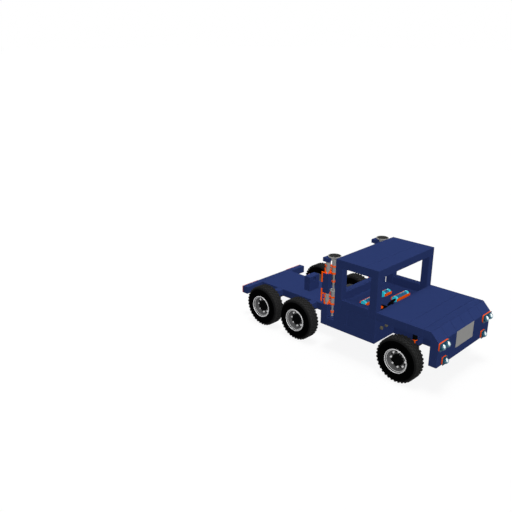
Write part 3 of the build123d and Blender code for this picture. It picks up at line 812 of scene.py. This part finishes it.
# ------------------------------------------------------------------ fascia and grille
# The nose is a low beam of smooth bricks, a wall of two bricks at each side above it, and one
# plain mid grey brick between these as the radiator's face.
GREY = (0.328, 0.326, 0.319, 1.0)
GREY_DEEP = (0.294, 0.292, 0.286, 1.0)

grey_plastic = moulded("grey_plastic", GREY, GREY_DEEP, roughness=0.40, specular=0.05)
bricks("fascia_beam")
bricks("fascia_wall")
bricks("grille", grey_plastic, "grey_plastic")

# ------------------------------------------------------------------ lamps
# Orange plates on the face of the nose, two lamps wide above and one wide below.  A clear pale
# blue lens covers each, darker towards each lamp's edge as painted shade, with a round dome for
# each lamp and a painted white highlight high in its front.
LENS = (0.210, 0.420, 0.520, 1.0)
LENS_EDGE_SHADE = (0.012, 0.080, 0.140, 1.0)
# White of the painted highlight on each dome.
LENS_HIGHLIGHT = (0.950, 1.000, 1.000, 1.0)
LENS_HIGHLIGHT_DEEP = (0.820, 0.940, 0.960, 1.0)
CORNER_R = 2.0          # round corners of the orange plates
CORNER_STEPS = 5
LENS_T = 0.4
LENS_R = 3.1
LENS_LEVEL = 41.6       # a lamp cell's lower edge
DOME_SEAT = 0.3         # how far a dome reaches into its cover
DOME_STEPS = 12
# Which way the painted highlight faces from a dome's middle, and its half width and half height.
LENS_HIGHLIGHT_AT = Vector((-0.353, -0.747, 0.562))
LENS_HIGHLIGHT_WIDE = 1.0
LENS_HIGHLIGHT_TALL = 1.8

lens_plastic, sock = new_finish("clear_plastic", 0.12, 0.05, Transmission_Weight=0.05, IOR=1.45)
place = sock.node("TexCoord", output="Object")
across = sock.node("SeparateXYZ", inputs={"Vector": place}, output="X")
upwards = sock.node("SeparateXYZ", inputs={"Vector": place}, output="Z")
# Painted shade: the lens goes from pale blue at each lamp's middle to dark at its cell's edge.
half_cell = PITCH / 2 * MM
from_x = half_cell - sock.maths("PINGPONG", across, half_cell)
from_z = half_cell - sock.maths("PINGPONG", upwards - LENS_LEVEL * MM, half_cell)
from_axis = sock.maths("SQRT", from_x * from_x + from_z * from_z) * (1 / LENS_R / MM)
swirl = noise(place, 320.0, 2.0)
dome_shade = sock.node("ValToRGB", {"stops": ((0.25, (0, 0, 0, 1)), (1.0, WHITE))},
                    {"Fac": from_axis + swirl * 0.2 - 0.1})
join_finish(lens_plastic, Base_Color=dome_shade.blend(LENS, LENS_EDGE_SHADE), Roughness=0.08 + swirl * 0.08)
# Clear white plastic that carries the painted highlight.
lens_highlight_plastic = clear_plastic("lens_highlight_plastic", LENS_HIGHLIGHT, LENS_HIGHLIGHT_DEEP, 0.0, specular=0.05)

frames = []
for low, high in solids("lamp_frames"):
    holder = box_between(low, high)
    edit(True)
    pick(holder, "EDGE",
         lambda edge: abs((edge.verts[0].co - edge.verts[1].co).normalized().y) > 0.9)
    bpy.ops.mesh.bevel(offset=CORNER_R * MM, segments=CORNER_STEPS, affect="EDGES")
    edit(False)
    soft_edges(holder, 0.12)
    frames.append(holder)
fixed(frames, "lamp_frames", orange_plastic, "orange_plastic")

highlight_across = LENS_HIGHLIGHT_AT.cross(Vector((0, 0, 1))).normalized()
highlight_up = highlight_across.cross(LENS_HIGHLIGHT_AT).normalized()
dome = [(0, DOME_SEAT), (LENS_R, DOME_SEAT)]
for step in range(DOME_STEPS + 1):
    turn = pi / 2 * step / DOME_STEPS
    dome.append((LENS_R * cos(turn), -LENS_R * sin(turn)))
lenses = []
for low, high in solids("lamp_lenses"):
    cover = box_between(Vector((low.x, high.y - LENS_T * MM, low.z)), high)
    soft_edges(cover, 0.1)
    cover.data.materials.append(lens_plastic)
    lenses.append(cover)
    count = round((high.x - low.x) / MM / PITCH)
    for index in range(count):
        x = (low.x + high.x) / 2 + (index - (count - 1) / 2) * PITCH * MM
        centre = Vector((x, low.y + LENS_R * MM, (low.z + high.z) / 2))
        lens = lathe(dome, centre, (0, 1, 0))
        lens.data.materials.append(lens_plastic)

        def in_lens_highlight(middle, normal):
            """Whether a face of the dome lies in the painted highlight."""
            offset = (middle - centre) / MM
            wide = offset.dot(highlight_across) / LENS_HIGHLIGHT_WIDE
            tall = offset.dot(highlight_up) / LENS_HIGHLIGHT_TALL
            return offset.dot(LENS_HIGHLIGHT_AT) > 0 and wide * wide + tall * tall < 1

        # Paints the white highlight onto the dome's faces.
        coat_faces(lens, lens_highlight_plastic, in_lens_highlight)
        lenses.append(lens)
fixed(lenses, "lamp_lenses", None, "clear_plastic")

# ------------------------------------------------------------------ hood
# Three smooth plates across the engine, hollow underneath, and six slope bricks side by side
# that carry the hood down to the nose.
bricks("hood_plates", hollow=True)
wedges = []
for low, high in solids("nose_slopes"):
    wedge = box_between(low, high)
    edit(True)
    pick(wedge, "VERT",
         lambda vertex: vertex.co.y < low.y + MM and vertex.co.z > high.z - MM)
    bpy.ops.transform.translate(value=(0, 0, low.z - high.z))
    bpy.ops.mesh.select_all(action="SELECT")
    bpy.ops.mesh.remove_doubles(threshold=MM / 200)
    bpy.ops.mesh.normals_make_consistent(inside=False)
    edit(False)
    soft_edges(wedge)
    wedges.append(wedge)
fixed(wedges, "nose_slopes", navy_plastic, "navy_plastic")

# ------------------------------------------------------------------ firewall
# A brick wall between engine and cab, with four round dark tan pegs in its front face, two at
# each side, that show in the wheel arches.
PEG_WALL = 0.35
PEG_EDGE = 0.2
PEG_DEPTH = 0.3         # of the hollow in a peg's end
TAN = (0.165, 0.150, 0.105, 1.0)
TAN_DEEP = (0.120, 0.108, 0.075, 1.0)

bricks("firewall")
tan_plastic = moulded("tan_plastic", TAN, TAN_DEEP, roughness=0.40)
pegs = []
for low, high in solids("firewall_pegs"):
    radius = (high.x - low.x) / 2 / MM
    long = (high.y - low.y) / MM
    well = radius - PEG_WALL
    back = Vector(((low.x + high.x) / 2, high.y, (low.z + high.z) / 2))
    pegs.append(lathe([(0, 0), (radius, 0), (radius, long - PEG_EDGE), (radius - PEG_EDGE, long),
                       (well, long), (well - 0.1, long - PEG_DEPTH), (0, long - PEG_DEPTH)],
                      back, (0, -1, 0)))
fixed(pegs, "firewall_pegs", tan_plastic, "grey_plastic")

# ------------------------------------------------------------------ cab
# Skirts, walls, sills, pillars and roof are all smooth bricks stacked on one grid.  Skirts and
# roof are hollow underneath, and the windows are open between the pillars.
bricks("skirts", hollow=True)
bricks("roof_plates", hollow=True)
for node in ("side_walls", "side_sills", "cab_floor", "back_wall", "back_sill", "pillars"):
    bricks(node)

# ------------------------------------------------------------------ cab lights
# Three clear blue tubes lie on the cab floor, each held by two orange rails along it.  They are
# deep blue in the middle, with a painted pale cyan glint near both ends.
TUBE_BLUE = (0.030, 0.180, 0.340, 1.0)
TUBE_DEEP = (0.012, 0.110, 0.240, 1.0)
# Pale cyan of the painted glints at the tubes' ends.
GLINT = (0.060, 0.800, 0.880, 1.0)
GLINT_DEEP = (0.030, 0.600, 0.760, 1.0)
GLINT_L = 3.2           # length of the pale end
TUBE_R = 2.95
GLASS_STEPS = 64

tube_plastic = clear_plastic("blue_clear_plastic", TUBE_BLUE, TUBE_DEEP, 0.10, specular=0.05)
painted_glint_plastic = clear_plastic("painted_glint_plastic", GLINT, GLINT_DEEP, 0.0, specular=0.05)
tubes = []
for low, high in solids("light_tubes"):
    middle = (low + high) / 2
    reach = (high.x - low.x) / 2 / MM
    profile = [(0, -reach + 0.8), (1.4, -reach + 0.8), (1.6, -reach), (TUBE_R - 0.3, -reach),
               (TUBE_R, -reach + 0.3), (TUBE_R, -reach + 2.6), (TUBE_R - 0.25, -reach + 2.9),
               (TUBE_R - 0.25, -reach + 3.6), (TUBE_R, -reach + 3.9)]
    profile += [(radius, -along) for radius, along in profile[::-1]]
    tube = lathe(profile, middle, (1, 0, 0), GLASS_STEPS)
    tube.data.materials.append(tube_plastic)
    # Paints the pale cyan glint on both ends of the tube.
    coat_faces(tube, painted_glint_plastic,
               lambda face, normal: abs(face.x - middle.x) > (reach - GLINT_L) * MM)
    tubes.append(tube)
fixed(tubes, "light_tubes", None, "blue_clear_plastic")


def refinish(node, material):
    """Gives a CAD node that keeps its shape the finish of its kind."""
    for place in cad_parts[node].material_slots:
        place.material = material


refinish("light_rails", orange_plastic)

# ------------------------------------------------------------------ steering wheel
# A black one-piece wheel with one bar across it, on a short column that ends against the hood.
STEER_TILT = 35.0
STEER_X = -16.0
STEER_R = 4.3
WIRE_R = 0.7
COLUMN_R = 1.0

low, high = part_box("steering_wheel")
steer_axis = Vector((0, cos(radians(STEER_TILT)), sin(radians(STEER_TILT))))
steer_turn = (radians(STEER_TILT - 90), 0, 0)
rim_rise = (STEER_R * cos(radians(STEER_TILT)) + WIRE_R) * MM
rim_run = (STEER_R * sin(radians(STEER_TILT)) + WIRE_R) * MM
steer_at = Vector((STEER_X * MM, high.y - rim_run, high.z - rim_rise))
bpy.ops.object.select_all(action="DESELECT")
bpy.ops.mesh.primitive_torus_add(
    major_segments=64, minor_segments=20, major_radius=STEER_R * MM, minor_radius=WIRE_R * MM,
    location=steer_at, rotation=steer_turn)
ring = settled(bpy.context.object)
bpy.ops.object.select_all(action="DESELECT")
bpy.ops.mesh.primitive_cube_add(
    size=1, location=steer_at, rotation=steer_turn,
    scale=Vector((2 * STEER_R, 2 * WIRE_R, 1.6 * WIRE_R)) * MM)
bar = settled(bpy.context.object)
soft_edges(bar, 0.25)
hub = lathe([(0, 0.8), (1.3, 0.8), (1.6, 0.5), (1.6, -0.6), (COLUMN_R, -0.9), (COLUMN_R, -5.2),
             (0, -5.2)], steer_at, steer_axis)
fixed([ring, bar, hub], "steering_wheel", black_plastic, "black_plastic")

# ------------------------------------------------------------------ switch box
# An open black box beside the right front pillar, with an orange lever standing in it.
SWITCH_WALL = 1.5
LEVER_WAIST = 0.35      # how much thinner the lever is between its ends

low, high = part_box("switch_box")
switch = box_between(low, high)
edit(True)
pick_faces(switch, lambda middle, normal: normal.z > 0.9)
bpy.ops.mesh.inset(thickness=SWITCH_WALL * MM)
extrude((0, 0, low.z - high.z + SWITCH_WALL * MM))
edit(False)
soft_edges(switch, 0.22)
fixed([switch], "switch_box", black_plastic, "black_plastic")
radius, tall, foot = upright(*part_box("switch_lever"))
shaft = radius - LEVER_WAIST
lever = lathe([(0, 0), (radius, 0), (radius, 0.8), (shaft, 1.1), (shaft, tall - 2.4),
               (radius, tall - 2.0), (radius, tall - 0.5), (radius - 0.4, tall), (0, tall)],
              foot, (0, 0, 1))
fixed([lever], "switch_lever", orange_plastic, "orange_plastic")

# ------------------------------------------------------------------ stacks
# Two exhaust stacks behind the cab, each a column of grooved bricks and round canisters with a
# grey pipe in two equal units in front of it, under a dish.  Orange clips tie them together.
UNIT_STEP = 32.0
FOOT_R = 3.8
FOOT_H = 1.0
BAR_R = 1.0
PIPE_TUBE_R = 2.1
TUBE_FROM = 13.6
TUBE_L = 14.0
FLANGE_R = 3.6
FLANGE_T = 1.2
DISH_R = 6.5
DISH_BORE_R = 5.8
DISH_WELL_R = 2.0
DISH_DEPTH = 2.2
GROOVE_R = 3.9          # grooves in the bricks, in which the pipe stands
CANISTER_GROOVE = 0.3   # depth of the two grooves round a canister
# A darker grey for the inside of each dish.
DISH_DARK = (0.048, 0.047, 0.046, 1.0)
DISH_DARK_DEEP = (0.020, 0.020, 0.020, 1.0)

dark_dish = moulded("dark_dish_plastic", DISH_DARK, DISH_DARK_DEEP, roughness=0.55)
pipes = []
for low, high in solids("stack_pipes"):
    top, foot = upright(low, high)[1:]
    outline = [(0, 0), (FOOT_R, 0), (FOOT_R, FOOT_H), (BAR_R + 0.5, FOOT_H), (BAR_R, FOOT_H + 0.5)]
    for unit in (0, 1):
        start = unit * UNIT_STEP
        tube_to = start + TUBE_FROM + TUBE_L
        outline += [(BAR_R, start + TUBE_FROM), (PIPE_TUBE_R, start + TUBE_FROM),
                    (PIPE_TUBE_R, tube_to), (FLANGE_R, tube_to), (FLANGE_R, tube_to + FLANGE_T),
                    (BAR_R, tube_to + FLANGE_T)]
    outline += [
        (DISH_R - 0.4, top - 1.3), (DISH_R, top - 0.9), (DISH_R, top - 0.2), (DISH_R - 0.2, top),
        (DISH_BORE_R, top), (DISH_BORE_R - 1.1, top - 1.0), (DISH_WELL_R + 0.8, top - 2.0),
        (DISH_WELL_R, top - DISH_DEPTH), (0, top - DISH_DEPTH)]
    pipe = lathe(outline, foot, (0, 0, 1))
    soft_edges(pipe, 0.15)
    pipe.data.materials.append(grey_plastic)

    def in_dish(middle, normal):
        """Whether a face lies in the dish on the pipe's top."""
        offset = (middle - foot) / MM
        inside = offset.xy.length < DISH_BORE_R - 0.1
        return inside and offset.z > top - DISH_DEPTH - 0.1 and normal.z > 0.1

    # The inside of the dish is darker grey.
    coat_faces(pipe, dark_dish, in_dish)
    coat_faces(pipe, navy_plastic, lambda middle, normal: middle.z < foot.z + (FOOT_H + 0.1) * MM)
    pipes.append(pipe)
fixed(pipes, "stack_pipes", None, "grey_plastic")

blocks = []
pipe_ats = [(low + high) / 2 for low, high in solids("stack_pipes")]
for low, high in solids("stack_columns"):
    block = box_between(low, high)
    axis = min(pipe_ats, key=lambda at: abs(at.x - low.x))
    reach = (high.z - low.z) / MM
    at = Vector((axis.x, axis.y, (low.z + high.z) / 2))
    cut(block, lathe(plug(GROOVE_R, -reach, reach), at, (0, 0, 1), FINE_ROUND))
    soft_edges(block)
    blocks.append(block)
fixed(blocks, "stack_columns", navy_plastic, "navy_plastic")

canisters = []
for low, high in solids("stack_canisters"):
    radius, tall, foot = upright(low, high)
    waist = radius - CANISTER_GROOVE
    canisters.append(lathe([
        (0, 0), (radius, 0), (radius, 1.2), (waist, 1.5), (waist, 2.0), (radius, 2.3),
        (radius, tall - 2.3), (waist, tall - 2.0), (waist, tall - 1.5), (radius, tall - 1.2),
        (radius, tall), (0, tall)], foot, (0, 0, 1)))
fixed(canisters, "stack_canisters", grey_plastic, "grey_plastic")

# ------------------------------------------------------------------ stack clips
# Thin orange clips round the pipe and the canisters.  Those round a canister are open in front,
# where two prongs rise from the lower one, one almost upright and one slanting outwards.
PIPE_FROM_AXIS = Vector((2.3, -5.4, 0.0))
CLIP_H = 1.4
CLIP_T = 0.85
CLIP_STEPS = 32
CANISTER_HOLD_R = 2.5
OPENING = (Vector((-5, -5, -1)), Vector((-0.3, -0.3, 3)))   # corners of what is cut out of a ring
LINK_GAP = 0.3          # how far outside the two rings' bores the link between them ends
PRONG_R = 0.62
HOOK_R = 0.8
ROD_SIDES = 12
HOOK_AT = Vector((-4.8, 3.3, 0))    # upright of the hook from the canister's axis
CLIPS = ((4.8, "bar"), (13.6, "both"), (20.6, "both"))      # height above the unit's start, place
HOOK_CLIPS = (23.9, 13.6)                   # height of the clip that carries each unit's hook
HOOK_SPANS = ((16.7, 29.8), (4.6, 15.2))    # low and high end of each unit's hook
PRONGS = (((-3.0, 0.6, 14.0), (-3.0, 1.6, 19.2)), ((-2.2, -2.3, 13.6), (1.2, -3.1, 18.4)))


def rod(start, end, radius):
    """A thin round bar from one point to another, in metres."""
    long = (end - start).length / MM
    return lathe(plug(radius, 0, long), start, end - start, ROD_SIDES)


def raised(point, height):
    """A point this many millimetres over another."""
    return point + Vector((0, 0, height)) * MM


def clip_ring(at, radius):
    """A flat ring of the clips' height round a vertical axis, its lower face here."""
    return lathe([(radius, 0), (radius + CLIP_T, 0), (radius + CLIP_T, CLIP_H), (radius, CLIP_H),
                  (radius, 0)], at, (0, 0, 1), CLIP_STEPS)


def open_ring(at):
    """A ring round a canister with its front quarter cut out."""
    opening = box_between(at + OPENING[0] * MM, at + OPENING[1] * MM)
    return cut(clip_ring(at, CANISTER_HOLD_R), opening)


clips = []
stack_foot = min(low.z for low, high in solids("stack_pipes"))
toward = PIPE_FROM_AXIS.normalized() * MM
for low, high in solids("stack_canisters"):
    axis = Vector(((low.x + high.x) / 2, (low.y + high.y) / 2, stack_foot))
    unit = int((low.z - stack_foot) / MM > UNIT_STEP)
    start = raised(axis, unit * UNIT_STEP)
    for height, around in CLIPS:
        at = raised(start, height)
        pipe_side = at + PIPE_FROM_AXIS * MM
        clips.append(clip_ring(pipe_side, BAR_R if around == "bar" else PIPE_TUBE_R))
        if around == "both":
            clips.append(open_ring(at))
            clips.append(rod(raised(at, CLIP_H / 2) + toward * (CANISTER_HOLD_R + LINK_GAP),
                             raised(pipe_side, CLIP_H / 2) - toward * (PIPE_TUBE_R + LINK_GAP),
                             CLIP_H / 2))
    for low_end, high_end in PRONGS:
        clips.append(rod(start + Vector(low_end) * MM, start + Vector(high_end) * MM, PRONG_R))
    height = HOOK_CLIPS[unit]
    clips.append(open_ring(raised(start, height)))
    hook = start + HOOK_AT * MM
    outward = HOOK_AT.normalized() * CANISTER_HOLD_R * MM
    height += CLIP_H / 2
    clips.append(rod(raised(start + outward, height), raised(hook, height), CLIP_H / 2))
    bottom, top = HOOK_SPANS[unit]
    clips.append(rod(raised(hook, bottom), raised(hook, top), HOOK_R))
fixed(clips, "stack_clips", orange_plastic, "orange_plastic")

# ------------------------------------------------------------------ tail lamps
# Six clear red plates on the rear beam, three at each side, with a shallow ring sunk round the
# middle of each.
PANE_FRAME = 0.9
PANE_RIM = 0.5          # width of the sunk ring round the pane
PANE = 0.25             # how deep that ring is

plates = []
for low, high in solids("tail_lamps"):
    plate = box_between(low, high)
    edit(True)
    pick_faces(plate, lambda middle, normal: normal.y > 0.9)
    bpy.ops.mesh.inset(thickness=PANE_FRAME * MM)
    extrude((0, -PANE * MM, 0))
    bpy.ops.mesh.inset(thickness=PANE_RIM * MM)
    extrude((0, PANE * MM, 0))
    edit(False)
    soft_edges(plate, 0.14)
    plates.append(plate)
fixed(plates, "tail_lamps", red_plastic, "red_plastic")
